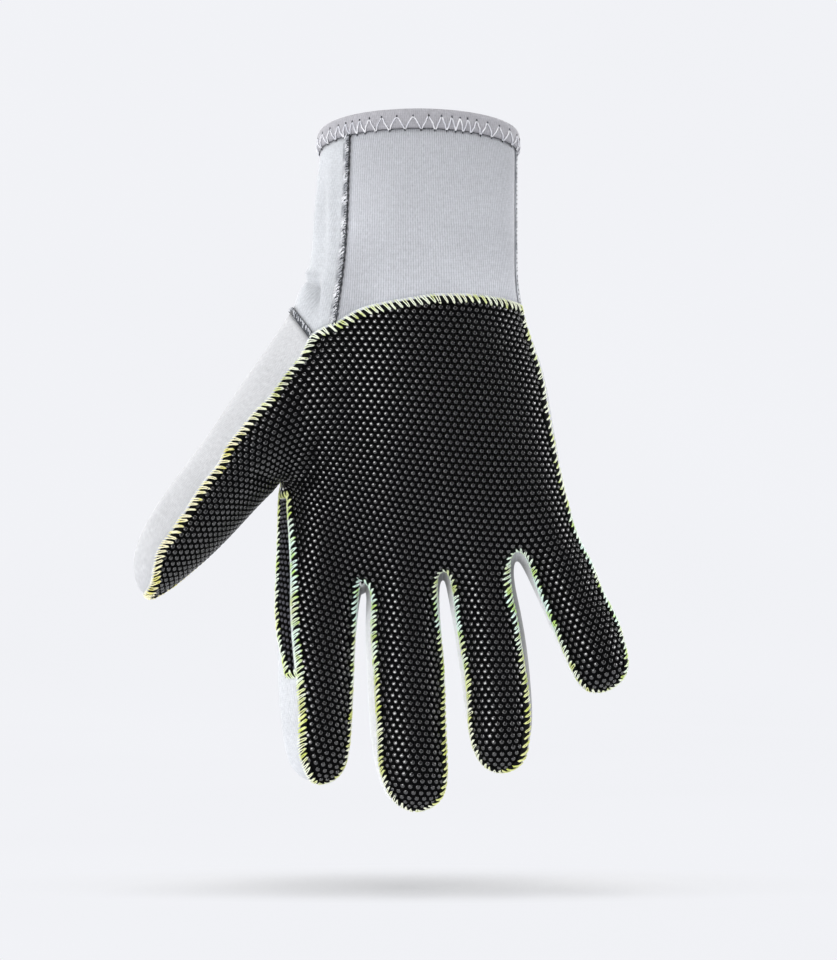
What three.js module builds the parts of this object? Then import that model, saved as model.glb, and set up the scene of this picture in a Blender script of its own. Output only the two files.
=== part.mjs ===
// A right-hand neoprene glove as it stands on a hand: fingers down, palm towards -Y, wrist opening up.
// One smooth hand surface is cut along its seams into sewn panels, each a hollow wall of its own.
// Millimetres, +Z up, +X towards the little finger; the origin is the centre of the wrist opening.
import * as THREE from "three";

// Driving dimensions
const WALL = 2.5;
const SEAM_GAP = 0.3;
const HEM_PROUD = 0.9;
const HEM_ROUND = 0.9;

// Edge profiles from a panel's outer face to its inner one: distance from the cut edge, then height over
// the hand surface. Sewn edges turn up into a low lip; the hem band is rounded on both sides.
const LIP_SHOULDER = { width: 0.7, height: 0.85 };
const turnedUp = (width, height) => [
  [width, 0],
  [width * LIP_SHOULDER.width, height * LIP_SHOULDER.height],
  [0, height],
  [0, -WALL],
];
const ROUNDED_BAND = [
  [HEM_ROUND, HEM_PROUD],
  [0, HEM_PROUD - HEM_ROUND],
  [0, HEM_ROUND - WALL],
  [HEM_ROUND, -WALL],
];

const PANELS = {
  palm_panel: { edge: turnedUp(1.9, 1.1), color: 0x17171a, roughness: 0.45 },
  index_gusset: { edge: turnedUp(1.3, 0.7), color: 0x1b1b1e, roughness: 0.5 },
  back_panel: { edge: turnedUp(1.2, 0.6), color: 0xbfc2ca, roughness: 0.85 },
  thumb_panel: { edge: turnedUp(1.2, 0.6), color: 0xc4c6cd, roughness: 0.85 },
  cuff_panel: { edge: turnedUp(1.2, 0.6), color: 0xb6bac4, roughness: 0.85 },
  hem_band: { edge: ROUNDED_BAND, color: 0xacaeb8, roughness: 0.85 },
};

// Every digit ring has ten points: seam, three across the palm side, seam, five across the back.
const RING = 10;
const [SEAM_LEFT, FRONT_LEFT, FRONT, FRONT_RIGHT, SEAM_RIGHT] = [0, 1, 2, 3, 4];
const [SIDE_RIGHT, BACK_RIGHT, BACK, BACK_LEFT, SIDE_LEFT] = [5, 6, 7, 8, 9];

// Sections of the digits from root to tip. Slant turns a section's width from +X up towards +Z;
// the seams are degrees round the section from the palm side, to the right positive.
// x, y, z, halfWidth, halfDepth, slant, seamLeft, seamRight
const DIGITS = {
  index: [
    [-35.6, -19, -159, 15.6, 13.6, 0, -29, 48],
    [-36.4, -21, -171, 15.2, 12.9, 0, -29, 58],
    [-36.8, -23.5, -183, 14.4, 12.4, 0, -26, 64],
    [-37.0, -26, -196, 13.6, 12.0, 0, -24, 68],
    [-36.6, -28.5, -212, 12.7, 11.3, 0, -18, 70],
    [-34.7, -31.5, -230, 10.9, 9.2, 0, -14, 72],
    [-34.6, -32.5, -237.2, 0, 0, 0, 0, 0],
  ],
  middle: [
    [-5.6, -19, -164, 12.8, 13.6, 0, -44, 44],
    [-5.6, -21, -177, 13.7, 13.0, 0, -45, 58],
    [-4.6, -24, -193, 14.0, 12.6, 0, -45, 66],
    [-3.9, -27, -211, 13.7, 12.2, 0, -45, 64],
    [-2.3, -30, -228, 12.9, 11.4, 0, -50, 66],
    [-0.9, -32, -239.6, 10.6, 9.4, 0, -58, 68],
    [-0.9, -33, -246.2, 0, 0, 0, 0, 0],
  ],
  ring: [
    [21.4, -19, -160, 12.1, 13.0, 3, -44, 36],
    [24.2, -21, -173, 12.5, 12.6, 5, -52, 44],
    [26.5, -24, -187, 12.6, 12.1, 5, -52, 46],
    [28.3, -27.5, -203, 12.3, 11.6, 4, -48, 50],
    [29.4, -31, -217.5, 11.6, 10.8, 3, -50, 54],
    [30.6, -33, -227, 8.9, 8.4, 2, -56, 58],
    [31.0, -34, -232.5, 0, 0, 0, 0, 0],
  ],
  pinky: [
    [47.0, -18, -150.5, 11.8, 12.0, 14, -44, 68],
    [52.4, -19.5, -161, 11.7, 11.4, 21, -50, 70],
    [57.6, -21.5, -173, 11.7, 11.0, 22, -58, 74],
    [62.2, -24, -184, 11.6, 10.6, 22, -58, 74],
    [65.6, -26, -193.5, 10.6, 9.8, 21, -60, 72],
    [66.8, -27, -199, 7.8, 7.6, 20, -64, 72],
    [67.8, -27.5, -202.8, 0, 0, 0, 0, 0],
  ],
  thumb: [
    [-56.5, -21, -109, 18.6, 17.0, -63, -24, 114],
    [-65.2, -24, -120.6, 15.3, 15.6, -54, -30, 114],
    [-75.4, -28, -133.2, 14.4, 14.4, -47, -24, 114],
    [-85.3, -32, -145.3, 13.0, 12.8, -44, -17, 112],
    [-93.6, -35, -155.8, 9.9, 10.6, -40, -6, 108],
    [-97.3, -36.5, -163.0, 5.7, 6.6, -40, 10, 104],
    [-98.2, -37, -168.2, 0, 0, 0, 0, 0],
  ],
};
const FINGERS = ["index", "middle", "ring", "pinky"];
// The gusset's width round the index finger at each of its sections, in degrees; it tapers to its end.
const GUSSET_WIDTHS = [40, 42, 40, 10, 30, 36];
const GUSSET_END = 3;
// How far the palm panel's seam rises above the finger roots at the right of each finger.
const CROTCH_RISES = { index: 1, middle: 4, ring: 4.5 };

// The hand's columns: shares of the way from the thumb's corner to the right seam on the palm side, then
// degrees round the back from the right side, ending with the two sides of the thumb.
const PALM_SHARES = [0, 0.115, 0.19, 0.26, 0.34, 0.41, 0.48, 0.56, 0.63, 0.72, 0.81, 0.91, 1];
const BACK_ANGLES = [98, 111, 125, 138, 149, 159, 169, 179, 189, 199, 209, 221, 234, 258, 281];

// Sections of the hand and cuff from the rim down. Lean tips a section's palm side up; the last two are
// degrees from the palm side to the thumb's corner and to the right seam.
// x, y, z, halfWidth, frontDepth, backDepth, lean, thumbCorner, rightSeam
const SECTIONS = [
  [-0.2, 0, 0.5, 36.8, 26, 26, 15, -58, 80],
  [-0.2, -1.2, -4.5, 36.6, 26, 26, 15, -58, 80],
  [-0.9, -6, -21.5, 37.1, 25.5, 25, 13, -57, 80],
  [-1.4, -12, -45, 37.6, 25, 24, 8, -56, 79],
  [-3.6, -15.5, -62, 40.8, 24, 23.5, 0, -54, 73],
  [-1.6, -18, -94, 49.0, 22, 20, 0, -62, 64],
  [-1.7, -18.5, -126, 49.8, 19.5, 18.5, 0, -60, 65],
];
const WRIST_ROW = 4;
const THENAR_ROW = 5;
const KNUCKLE_ROW = 6;
// The ball of the thumb: extra depth on the palm side at the first columns of the last three sections.
const THUMB_BALL = [
  [2, 1, 0],
  [9, 5, 2.5],
  [3.5, 1.5, 0],
];
// The palm panel's top edge is a parabola: its apex, and its fall per square millimetre.
const PALM_TOP = { x: 12, z: -58.4, fall: 0.0064 };

const rad = THREE.MathUtils.degToRad;
const lerp = THREE.MathUtils.lerp;
const vec = (x, y, z) => new THREE.Vector3(x, y, z);
const average = (list) => list.reduce((sum, p) => sum.add(p), vec(0, 0, 0)).divideScalar(list.length);

// A control ring lies outside the smooth surface it makes: that passes at a sixth of the sum of four times
// a point and its two neighbours, which stand at these angles before and after it.
const controlScale = (gapBefore, gapAfter) => 6 / (4 + Math.cos(gapBefore) + Math.cos(gapAfter));

// Angles of a ring's points, evenly across the palm side and evenly round the back. A strip is a last step
// of its own width before the left seam.
function ringAngles(seamLeft, seamRight, strip) {
  const palmArc = seamRight - seamLeft;
  const palmStep = palmArc / SEAM_RIGHT;
  const backSteps = RING - SEAM_RIGHT;
  const backStep = strip ? (360 - palmArc - strip) / (backSteps - 1) : (360 - palmArc) / backSteps;
  return Array.from({ length: RING }, (_, k) => {
    const pastSeam = k - SEAM_RIGHT;
    return rad(seamRight + pastSeam * (pastSeam < 0 ? palmStep : backStep));
  });
}

// The control rings of one digit, root first, and the control point at its tip.
function digitRings(rows, strips = []) {
  const centres = rows.map(([x, y, z]) => vec(x, y, z));
  const rings = rows.slice(0, -1).map((row, i) => {
    const [, , , halfWidth, halfDepth, slant, seamLeft, seamRight] = row;
    const along = centres[i + 1].clone().sub(centres[Math.max(i - 1, 0)]).normalize();
    const across = vec(Math.cos(rad(slant)), 0, Math.sin(rad(slant)));
    const front = vec().crossVectors(along, across).normalize();
    const angles = ringAngles(seamLeft, seamRight, strips[i]);
    return angles.map((angle, k) => {
      const before = angle - angles.at(k - 1);
      const after = angles[(k + 1) % RING] - angle;
      const scale = controlScale(before, after);
      return centres[i]
        .clone()
        .addScaledVector(across, Math.sin(angle) * halfWidth * scale)
        .addScaledVector(front, Math.cos(angle) * halfDepth * scale);
    });
  });
  return { rings, tip: centres.at(-1) };
}

// The hand's columns in order round it, each with the digit and ring point it runs down to.
function handColumns() {
  const run = (finger, ...rings) => rings.map((ring) => ({ finger, ring }));
  return [
    ...FINGERS.flatMap((finger) => run(finger, FRONT_LEFT, FRONT, FRONT_RIGHT)),
    ...run("pinky", SEAM_RIGHT, SIDE_RIGHT),
    ...FINGERS.toReversed().flatMap((finger) => run(finger, BACK_RIGHT, BACK, BACK_LEFT)),
    ...run("index", SIDE_LEFT, SEAM_LEFT),
  ];
}
const COLUMNS = handColumns();
const columnOf = (finger, ring) => COLUMNS.findIndex((c) => c.finger === finger && c.ring === ring);
const THUMB_FRONT = columnOf("index", FRONT_LEFT);
const CUFF_SEAM = columnOf("index", FRONT);
const RIGHT_SEAM = columnOf("pinky", SEAM_RIGHT);
const THUMB_BACK = columnOf("index", BACK_LEFT);
const LEFT_SIDE = columnOf("index", SIDE_LEFT);
const LEFT_SEAM = columnOf("index", SEAM_LEFT);

// The panel of the face below section r and to the right of column c.
function handPanel(r, c) {
  if (r === 0) return "hem_band";
  if (r < WRIST_ROW) return c >= CUFF_SEAM && c < RIGHT_SEAM ? "cuff_panel" : "back_panel";
  if (c < RIGHT_SEAM || c === LEFT_SEAM) return "palm_panel";
  return r === KNUCKLE_ROW && c === LEFT_SIDE ? "index_gusset" : "back_panel";
}

// The panel of the face below ring r and after point k of a digit.
function digitPanel(name, k, r) {
  if (k < SEAM_RIGHT) return "palm_panel";
  if (name === "thumb") return "thumb_panel";
  return name === "index" && k === SIDE_LEFT && r < GUSSET_END ? "index_gusset" : "back_panel";
}

// Builds the whole control cage: points and four-sided faces, each with the panel it belongs to.
function handCage() {
  const points = [];
  const faces = [];
  const addPoint = (p) => points.push(p) - 1;
  const addFace = (panel, ...corners) => faces.push({ panel, corners });
  const digits = {};
  for (const [name, rows] of Object.entries(DIGITS))
    digits[name] = digitRings(rows, name === "index" ? GUSSET_WIDTHS : []);
  FINGERS.slice(1).forEach((name, i) => {
    digits[FINGERS[i]].rings[0][SEAM_RIGHT].z += CROTCH_RISES[FINGERS[i]];
    digits[name].rings[0][SEAM_LEFT].z += CROTCH_RISES[FINGERS[i]];
  });

  const rows = SECTIONS.map((section, r) => {
    const [x, y, z, halfWidth, frontDepth, backDepth, lean, thumbCorner, rightSeam] = section;
    return COLUMNS.map(({ finger, ring }, c) => {
      if (r === THENAR_ROW && c >= LEFT_SIDE) return null;
      const onPalm = c <= RIGHT_SEAM;
      const angle = rad(
        onPalm ? lerp(thumbCorner, rightSeam, PALM_SHARES[c]) : BACK_ANGLES[c - RIGHT_SEAM - 1]
      );
      const depth = Math.cos(angle) > 0 ? frontDepth : backDepth;
      const p = vec(x + Math.sin(angle) * halfWidth, y - Math.cos(angle) * depth, z);
      if (r > WRIST_ROW) {
        const share = (r - WRIST_ROW) / (SECTIONS.length - WRIST_ROW);
        p.x = lerp(p.x, digits[finger].rings[0][ring].x, share * share);
      }
      p.z += Math.tan(rad(lean)) * (y - p.y);
      if (r === WRIST_ROW && onPalm) p.z = PALM_TOP.z - PALM_TOP.fall * (p.x - PALM_TOP.x) ** 2;
      if (r >= WRIST_ROW) p.y -= THUMB_BALL[r - WRIST_ROW][c] ?? 0;
      return addPoint(p);
    });
  });
  const baseRings = Object.fromEntries(
    FINGERS.map((name) => [name, digits[name].rings[0].map((p) => addPoint(p))])
  );
  rows.push(COLUMNS.map(({ finger, ring }) => baseRings[finger][ring]));

  for (let r = 0; r < rows.length - 1; r++)
    for (let c = 0; c < COLUMNS.length; c++) {
      const inThumbOpening = (r === WRIST_ROW || r === THENAR_ROW) && c >= THUMB_BACK;
      if (inThumbOpening) continue;
      const next = (c + 1) % COLUMNS.length;
      addFace(handPanel(r, c), rows[r][c], rows[r + 1][c], rows[r + 1][next], rows[r][next]);
    }

  FINGERS.slice(1).forEach((name, i) => {
    const left = baseRings[FINGERS[i]];
    const right = baseRings[name];
    addFace("palm_panel", left[FRONT_RIGHT], left[SEAM_RIGHT], right[SEAM_LEFT], right[FRONT_LEFT]);
    addFace("back_panel", left[SEAM_RIGHT], left[SIDE_RIGHT], right[SIDE_LEFT], right[SEAM_LEFT]);
    addFace("back_panel", left[SIDE_RIGHT], left[BACK_RIGHT], right[BACK_LEFT], right[SIDE_LEFT]);
  });

  // The thumb grows from the opening left in the hand's side: palm side first, then round the back.
  const thumbRoot = [
    rows[WRIST_ROW][THUMB_FRONT],
    rows[THENAR_ROW][THUMB_FRONT],
    rows[KNUCKLE_ROW][THUMB_FRONT],
    rows[KNUCKLE_ROW][LEFT_SEAM],
    rows[KNUCKLE_ROW][LEFT_SIDE],
    rows[KNUCKLE_ROW][THUMB_BACK],
    rows[THENAR_ROW][THUMB_BACK],
    rows[WRIST_ROW][THUMB_BACK],
    rows[WRIST_ROW][LEFT_SIDE],
    rows[WRIST_ROW][LEFT_SEAM],
  ];
  for (const [name, { rings, tip }] of Object.entries(digits)) {
    const isThumb = name === "thumb";
    const outer = rings.slice(isThumb ? 0 : 1).map((ring) => ring.map((p) => addPoint(p)));
    const all = [isThumb ? thumbRoot : baseRings[name], ...outer];
    for (let r = 0; r < all.length - 1; r++)
      for (let k = 0; k < RING; k++) {
        const next = (k + 1) % RING;
        addFace(digitPanel(name, k, r), all[r][k], all[r + 1][k], all[r + 1][next], all[r][next]);
      }
    const tipPoint = addPoint(tip);
    const last = all.at(-1);
    for (let k = 0; k < RING; k += 2)
      addFace(digitPanel(name, k, all.length), last[k], tipPoint, last[(k + 2) % RING], last[k + 1]);
  }
  return { points, faces };
}

const edgeKey = (a, b) => (a < b ? `${a}_${b}` : `${b}_${a}`);
const middle = (edge, points) => average([points[edge.a], points[edge.b]]);

// One Catmull-Clark step. The rim is the only open edge and follows its own cubic curve.
function subdivide({ points, faces }) {
  const facePoints = faces.map(({ corners }) => average(corners.map((c) => points[c])));
  const edges = new Map();
  const around = points.map(() => ({ faces: [], edges: new Set() }));
  faces.forEach(({ corners }, f) =>
    corners.forEach((a, i) => {
      const b = corners[(i + 1) % corners.length];
      const key = edgeKey(a, b);
      if (!edges.has(key)) edges.set(key, { a, b, faces: [] });
      edges.get(key).faces.push(f);
      around[a].faces.push(f);
      around[a].edges.add(key);
      around[b].edges.add(key);
    })
  );
  const made = points.map((p, v) => {
    const rim = [...around[v].edges].map((key) => edges.get(key)).filter((e) => e.faces.length === 1);
    if (rim.length) {
      const [before, after] = rim.map((e) => points[e.a === v ? e.b : e.a]);
      return average([p, p, p, p, p, p, before, after]);
    }
    const n = around[v].faces.length;
    const faceMean = average(around[v].faces.map((f) => facePoints[f]));
    const edgeMean = average([...around[v].edges].map((key) => middle(edges.get(key), points)));
    return faceMean.addScaledVector(edgeMean, 2).addScaledVector(p, n - 3).divideScalar(n);
  });
  const faceIndex = facePoints.map((p) => made.push(p) - 1);
  const edgeIndex = new Map();
  for (const [key, edge] of edges) {
    const mid = middle(edge, points);
    const sides = edge.faces.map((f) => facePoints[f]);
    edgeIndex.set(key, made.push(sides.length === 2 ? average([mid, mid, ...sides]) : mid) - 1);
  }
  const split = faces.flatMap(({ panel, corners }, f) =>
    corners.map((v, i) => {
      const after = edgeIndex.get(edgeKey(v, corners[(i + 1) % corners.length]));
      const before = edgeIndex.get(edgeKey(corners.at(i - 1), v));
      return { panel, corners: [v, after, faceIndex[f], before] };
    })
  );
  return { points: made, faces: split };
}

// Moves every point of an all-quad mesh to where endless subdivision would bring it, with its normal there.
function limitSurface({ points, faces }) {
  const zero = () => vec(0, 0, 0);
  const sums = points.map(() => ({ beside: zero(), diagonal: zero(), count: 0, ends: new Map() }));
  for (const { corners } of faces)
    corners.forEach((v, i) => {
      const after = corners[(i + 1) % 4];
      const before = corners[(i + 3) % 4];
      sums[v].beside.add(points[after]).add(points[before]);
      sums[v].diagonal.add(points[corners[(i + 2) % 4]]);
      sums[v].count += 1;
      for (const w of [after, before]) sums[v].ends.set(w, (sums[v].ends.get(w) ?? 0) + 1);
    });
  const limit = points.map((p, v) => {
    const { beside, diagonal, count: n, ends } = sums[v];
    const rim = [...ends].filter(([, uses]) => uses === 1).map(([w]) => points[w]);
    if (rim.length) return average([p, p, p, p, ...rim]);
    const weighted = p.clone().multiplyScalar(n * n).addScaledVector(beside, 2).add(diagonal);
    return weighted.divideScalar(n * (n + 5));
  });
  const normals = points.map(zero);
  for (const { corners } of faces) {
    const [a, b, c, d] = corners.map((v) => limit[v]);
    const n = c.clone().sub(a).cross(d.clone().sub(b));
    corners.forEach((v) => normals[v].add(n));
  }
  normals.forEach((n) => n.normalize());
  return { points: limit, normals, faces };
}

// Sharp corners of a panel are cut back no further than this cosine allows.
const MITRE_LIMIT = 0.6;

// The closed wall of one panel: outer face, edge strips and inner face.
function panelGeometry(surface, name) {
  const own = surface.faces.filter((f) => f.panel === name).map((f) => f.corners);
  const directed = new Map();
  for (const corners of own)
    corners.forEach((a, i) => {
      const b = corners[(i + 1) % corners.length];
      directed.set(`${a}>${b}`, [a, b]);
    });
  const border = [...directed.values()].filter(([a, b]) => !directed.has(`${b}>${a}`));
  const nextOf = new Map(border);
  const previousOf = new Map(border.map(([a, b]) => [b, a]));

  // The direction from a border point into the panel, long enough to shift both its edges by one millimetre.
  const inward = (v) => {
    const n = surface.normals[v];
    const sideOf = (a, b) => vec().crossVectors(n, surface.points[b].clone().sub(surface.points[a]));
    const before = sideOf(previousOf.get(v), v).normalize();
    const after = sideOf(v, nextOf.get(v)).normalize();
    const both = before.add(after).normalize();
    return both.divideScalar(Math.max(both.dot(after), MITRE_LIMIT));
  };

  const positions = [];
  const index = [];
  const put = (v, shift, height) => {
    const p = surface.points[v].clone().addScaledVector(surface.normals[v], height);
    if (nextOf.has(v)) p.addScaledVector(inward(v), SEAM_GAP / 2 + shift);
    return positions.push(p.x, p.y, p.z) / 3 - 1;
  };
  const quad = (a, b, c, d) => index.push(a, b, c, a, c, d);

  const all = [...new Set(own.flat())];
  const onBorder = border.map(([v]) => v);
  const profile = PANELS[name].edge;
  const layers = profile.map(([shift, height], i) => {
    const isFace = i === 0 || i === profile.length - 1;
    return new Map((isFace ? all : onBorder).map((v) => [v, put(v, shift, height)]));
  });
  for (const corners of own) {
    quad(...corners.map((v) => layers[0].get(v)));
    quad(...corners.map((v) => layers.at(-1).get(v)).reverse());
  }
  for (const [a, b] of border)
    layers.slice(1).forEach((lower, i) => {
      const upper = layers[i];
      const corners = [upper.get(b), upper.get(a), lower.get(a), lower.get(b)];
      // Both panels at a seam fold their twisted cut edges along the same diagonal, so the gap stays even.
      quad(...(a < b ? corners : [...corners.slice(1), corners[0]]));
    });

  const geometry = new THREE.BufferGeometry();
  geometry.setAttribute("position", new THREE.Float32BufferAttribute(positions, 3));
  geometry.setIndex(index);
  geometry.computeVertexNormals();
  return geometry;
}

const surface = limitSurface(subdivide(handCage()));
const glove = new THREE.Group();
for (const [name, { color, roughness }] of Object.entries(PANELS)) {
  const material = new THREE.MeshStandardMaterial({ color, roughness, metalness: 0 });
  const mesh = new THREE.Mesh(panelGeometry(surface, name), material);
  mesh.name = name;
  glove.add(mesh);
}

export default glove;
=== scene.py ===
"""A right-hand neoprene glove as it stands on a hand, with its rubber dots, overlocked seams and knit."""

import math

import bpy
import numpy as np
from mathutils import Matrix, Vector
from mathutils.kdtree import KDTree


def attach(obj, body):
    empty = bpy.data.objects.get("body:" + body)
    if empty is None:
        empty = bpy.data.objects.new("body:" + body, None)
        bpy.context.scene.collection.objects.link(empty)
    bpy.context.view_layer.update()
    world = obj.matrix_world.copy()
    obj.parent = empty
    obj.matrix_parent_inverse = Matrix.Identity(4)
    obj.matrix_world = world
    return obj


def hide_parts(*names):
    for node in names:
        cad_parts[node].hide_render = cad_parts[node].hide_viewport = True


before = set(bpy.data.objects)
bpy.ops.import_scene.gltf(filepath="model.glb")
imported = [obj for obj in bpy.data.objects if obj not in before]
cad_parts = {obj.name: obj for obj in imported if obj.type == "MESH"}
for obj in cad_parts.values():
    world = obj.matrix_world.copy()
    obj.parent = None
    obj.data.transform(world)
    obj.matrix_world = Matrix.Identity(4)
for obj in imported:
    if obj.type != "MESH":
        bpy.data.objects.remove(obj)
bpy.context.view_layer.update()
MM = 0.001

# The hand surface, as in the part's own source: millimetres, palm towards -Y, fingers down
WALL = 2.5
SEAM_GAP = 0.3
HEM_PROUD = 0.9

RING = 10
SEAM_LEFT, FRONT_LEFT, FRONT, FRONT_RIGHT, SEAM_RIGHT = range(5)
SIDE_RIGHT, BACK_RIGHT, BACK, BACK_LEFT, SIDE_LEFT = range(5, 10)

# Sections of the digits from root to tip, which has a place only:
# x, y, z, half width, half depth, slant, seam left, seam right
DIGITS = {
    "index": [
        (-35.6, -19, -159, 15.6, 13.6, 0, -29, 48),
        (-36.4, -21, -171, 15.2, 12.9, 0, -29, 58),
        (-36.8, -23.5, -183, 14.4, 12.4, 0, -26, 64),
        (-37, -26, -196, 13.6, 12, 0, -24, 68),
        (-36.6, -28.5, -212, 12.7, 11.3, 0, -18, 70),
        (-34.7, -31.5, -230, 10.9, 9.2, 0, -14, 72),
        (-34.6, -32.5, -237.2),
    ],
    "middle": [
        (-5.6, -19, -164, 12.8, 13.6, 0, -44, 44),
        (-5.6, -21, -177, 13.7, 13, 0, -45, 58),
        (-4.6, -24, -193, 14, 12.6, 0, -45, 66),
        (-3.9, -27, -211, 13.7, 12.2, 0, -45, 64),
        (-2.3, -30, -228, 12.9, 11.4, 0, -50, 66),
        (-0.9, -32, -239.6, 10.6, 9.4, 0, -58, 68),
        (-0.9, -33, -246.2),
    ],
    "ring": [
        (21.4, -19, -160, 12.1, 13, 3, -44, 36),
        (24.2, -21, -173, 12.5, 12.6, 5, -52, 44),
        (26.5, -24, -187, 12.6, 12.1, 5, -52, 46),
        (28.3, -27.5, -203, 12.3, 11.6, 4, -48, 50),
        (29.4, -31, -217.5, 11.6, 10.8, 3, -50, 54),
        (30.6, -33, -227, 8.9, 8.4, 2, -56, 58),
        (31, -34, -232.5),
    ],
    "pinky": [
        (47, -18, -150.5, 11.8, 12, 14, -44, 68),
        (52.4, -19.5, -161, 11.7, 11.4, 21, -50, 70),
        (57.6, -21.5, -173, 11.7, 11, 22, -58, 74),
        (62.2, -24, -184, 11.6, 10.6, 22, -58, 74),
        (65.6, -26, -193.5, 10.6, 9.8, 21, -60, 72),
        (66.8, -27, -199, 7.8, 7.6, 20, -64, 72),
        (67.8, -27.5, -202.8),
    ],
    "thumb": [
        (-56.5, -21, -109, 18.6, 17, -63, -24, 114),
        (-65.2, -24, -120.6, 15.3, 15.6, -54, -30, 114),
        (-75.4, -28, -133.2, 14.4, 14.4, -47, -24, 114),
        (-85.3, -32, -145.3, 13, 12.8, -44, -17, 112),
        (-93.6, -35, -155.8, 9.9, 10.6, -40, -6, 108),
        (-97.3, -36.5, -163, 5.7, 6.6, -40, 10, 104),
        (-98.2, -37, -168.2),
    ],
}
FINGERS = ["index", "middle", "ring", "pinky"]
GUSSET_WIDTHS = [40, 42, 40, 10, 30, 36]
GUSSET_END = 3
CROTCH_RISES = {"index": 1, "middle": 4, "ring": 4.5}

PALM_SHARES = [0, 0.115, 0.19, 0.26, 0.34, 0.41, 0.48, 0.56, 0.63, 0.72, 0.81, 0.91, 1]
BACK_ANGLES = [98, 111, 125, 138, 149, 159, 169, 179, 189, 199, 209, 221, 234, 258, 281]

# Sections of the hand and cuff from the rim down:
# x, y, z, half width, front depth, back depth, lean, thumb corner, right seam
SECTIONS = [
    (-0.2, 0, 0.5, 36.8, 26, 26, 15, -58, 80),
    (-0.2, -1.2, -4.5, 36.6, 26, 26, 15, -58, 80),
    (-0.9, -6, -21.5, 37.1, 25.5, 25, 13, -57, 80),
    (-1.4, -12, -45, 37.6, 25, 24, 8, -56, 79),
    (-3.6, -15.5, -62, 40.8, 24, 23.5, 0, -54, 73),
    (-1.6, -18, -94, 49, 22, 20, 0, -62, 64),
    (-1.7, -18.5, -126, 49.8, 19.5, 18.5, 0, -60, 65),
]
WRIST_ROW, THENAR_ROW, KNUCKLE_ROW = 4, 5, 6
THUMB_BALL = [(2, 1, 0), (9, 5, 2.5), (3.5, 1.5, 0)]
PALM_TOP = {"x": 12, "z": -58.4, "fall": 0.0064}

# The hand's columns in order round it, each with the digit and ring point that it runs down to
COLUMNS = [(f, k) for f in FINGERS for k in (FRONT_LEFT, FRONT, FRONT_RIGHT)]
COLUMNS += [("pinky", SEAM_RIGHT), ("pinky", SIDE_RIGHT)]
COLUMNS += [(f, k) for f in reversed(FINGERS) for k in (BACK_RIGHT, BACK, BACK_LEFT)]
COLUMNS += [("index", SIDE_LEFT), ("index", SEAM_LEFT)]
THUMB_FRONT, CUFF_SEAM, THUMB_BACK, LEFT_SIDE, LEFT_SEAM = [
    COLUMNS.index(("index", k)) for k in (FRONT_LEFT, FRONT, BACK_LEFT, SIDE_LEFT, SEAM_LEFT)]
RIGHT_SEAM = COLUMNS.index(("pinky", SEAM_RIGHT))
PANELS = ["palm_panel", "index_gusset", "back_panel", "thumb_panel", "cuff_panel", "hem_band"]


def control_scale(before, after):
    """How far a control ring lies outside the smooth surface that it makes."""
    return 6 / (4 + math.cos(before) + math.cos(after))


def ring_angles(seam_left, seam_right, strip):
    """Angles of a ring's points: even on the palm side and round the back, a strip before the left seam."""
    palm_arc = seam_right - seam_left
    back_steps = RING - SEAM_RIGHT - (1 if strip else 0)
    back_step = (360 - palm_arc - strip) / back_steps
    steps = [palm_arc / SEAM_RIGHT if k < SEAM_RIGHT else back_step for k in range(RING)]
    return [math.radians(seam_right + (k - SEAM_RIGHT) * steps[k]) for k in range(RING)]


def digit_rings(rows, strips):
    """The control rings of one digit, root first, and the control point at its tip."""
    centres = [np.array(row[:3], float) for row in rows]
    rings = []
    for i, (_, _, _, half_width, half_depth, slant, seam_left, seam_right) in enumerate(rows[:-1]):
        along = centres[i + 1] - centres[max(i - 1, 0)]
        across = np.array([math.cos(math.radians(slant)), 0, math.sin(math.radians(slant))])
        front = np.cross(along / np.linalg.norm(along), across)
        front /= np.linalg.norm(front)
        angles = ring_angles(seam_left, seam_right, strips[i] if strips else 0)
        ring = []
        for k, angle in enumerate(angles):
            scale = control_scale(angle - angles[k - 1], angles[(k + 1) % RING] - angle)
            side = math.sin(angle) * half_width * scale * across
            ring.append(centres[i] + side + math.cos(angle) * half_depth * scale * front)
        rings.append(ring)
    return rings, centres[-1]


def hand_panel(r, c):
    """The panel of a face of the hand or cuff, by row and column."""
    if r == 0:
        return "hem_band"
    if r < WRIST_ROW:
        return "cuff_panel" if CUFF_SEAM <= c < RIGHT_SEAM else "back_panel"
    if c < RIGHT_SEAM or c == LEFT_SEAM:
        return "palm_panel"
    return "index_gusset" if r == KNUCKLE_ROW and c == LEFT_SIDE else "back_panel"


def digit_panel(name, k, r):
    """The panel of a face of a digit, by ring point and row."""
    if k < SEAM_RIGHT:
        return "palm_panel"
    if name == "thumb":
        return "thumb_panel"
    return "index_gusset" if name == "index" and k == SIDE_LEFT and r < GUSSET_END else "back_panel"


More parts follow.
